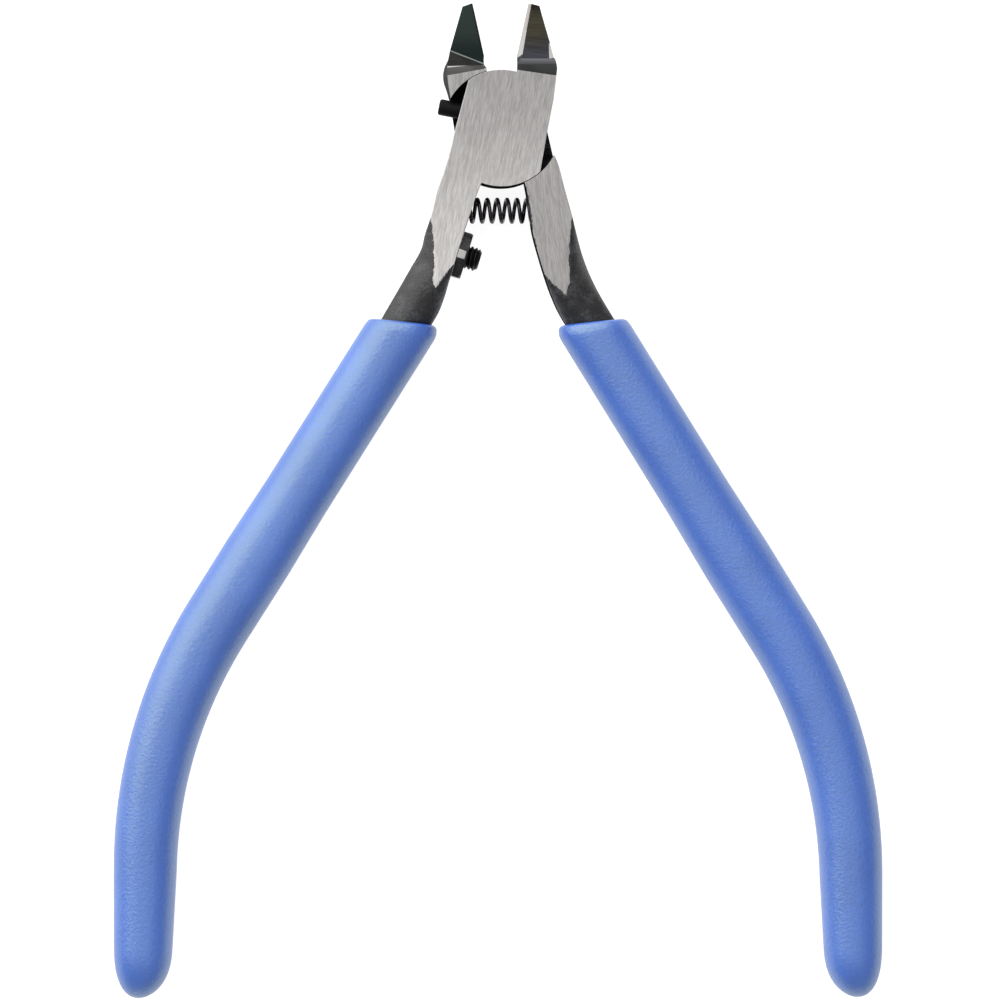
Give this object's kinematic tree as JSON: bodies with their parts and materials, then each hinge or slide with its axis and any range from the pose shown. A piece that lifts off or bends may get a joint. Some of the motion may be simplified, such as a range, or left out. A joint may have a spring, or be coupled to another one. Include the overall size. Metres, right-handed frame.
{
  "type": "sprue nippers",
  "caption": "Hand nippers with slim tapered jaws, a lapped pivot joint, a coil return spring, a screw stop and curved soft sleeves on both handles.",
  "frame": {"origin": "on the pivot axis, on the joint's back face", "axes": "+Z along the pivot axis and out of the front face, +Y towards the jaw tips, +X towards the right jaw; the tool is fully open at rest"},
  "size_m": [0.0926, 0.1198, 0.0081],
  "materials": {
    "ground_steel": "ground bright on the flat faces, black oxide on the forged sides",
    "rivet_steel": "ground flush with the joint's faces",
    "black_steel": "black oxide",
    "spring_steel": "dark blued wire",
    "blue_vinyl": "soft satin vinyl with a fine grain"
  },
  "bodies": {
    "rear_half": {"rear_lever": "ground_steel", "pivot_rivet": "rivet_steel", "right_grip": "blue_vinyl", "return_spring": "spring_steel"},
    "front_half": {"front_lever": "ground_steel", "left_grip": "blue_vinyl", "opening_stop_pin": "black_steel"},
    "set_screw": {"stopper_set_screw": "black_steel"},
    "lock_nut": {"stopper_lock_nut": "black_steel"}
  },
  "joints": [
    {"name": "pivot", "type": "hinge", "parent": "rear_half", "child": "front_half", "pos_m": [0, 0, 0], "axis": [0, 0, 1], "range_deg": [0, 24.5], "stiffness_Nm_per_rad": 0.144, "springref_deg": -11.46, "deforming": ["return_spring"]},
    {"name": "set_screw_travel", "type": "slide", "parent": "front_half", "child": "set_screw", "axis": [0.9558, -0.294, 0], "range_m": [-0.0012, 0]},
    {"name": "lock_nut_turn", "type": "hinge", "parent": "front_half", "child": "lock_nut", "pos_m": [-0.00467, -0.01516, 0.0029], "axis": [0.9558, -0.294, 0], "continuous": true}
  ]
}
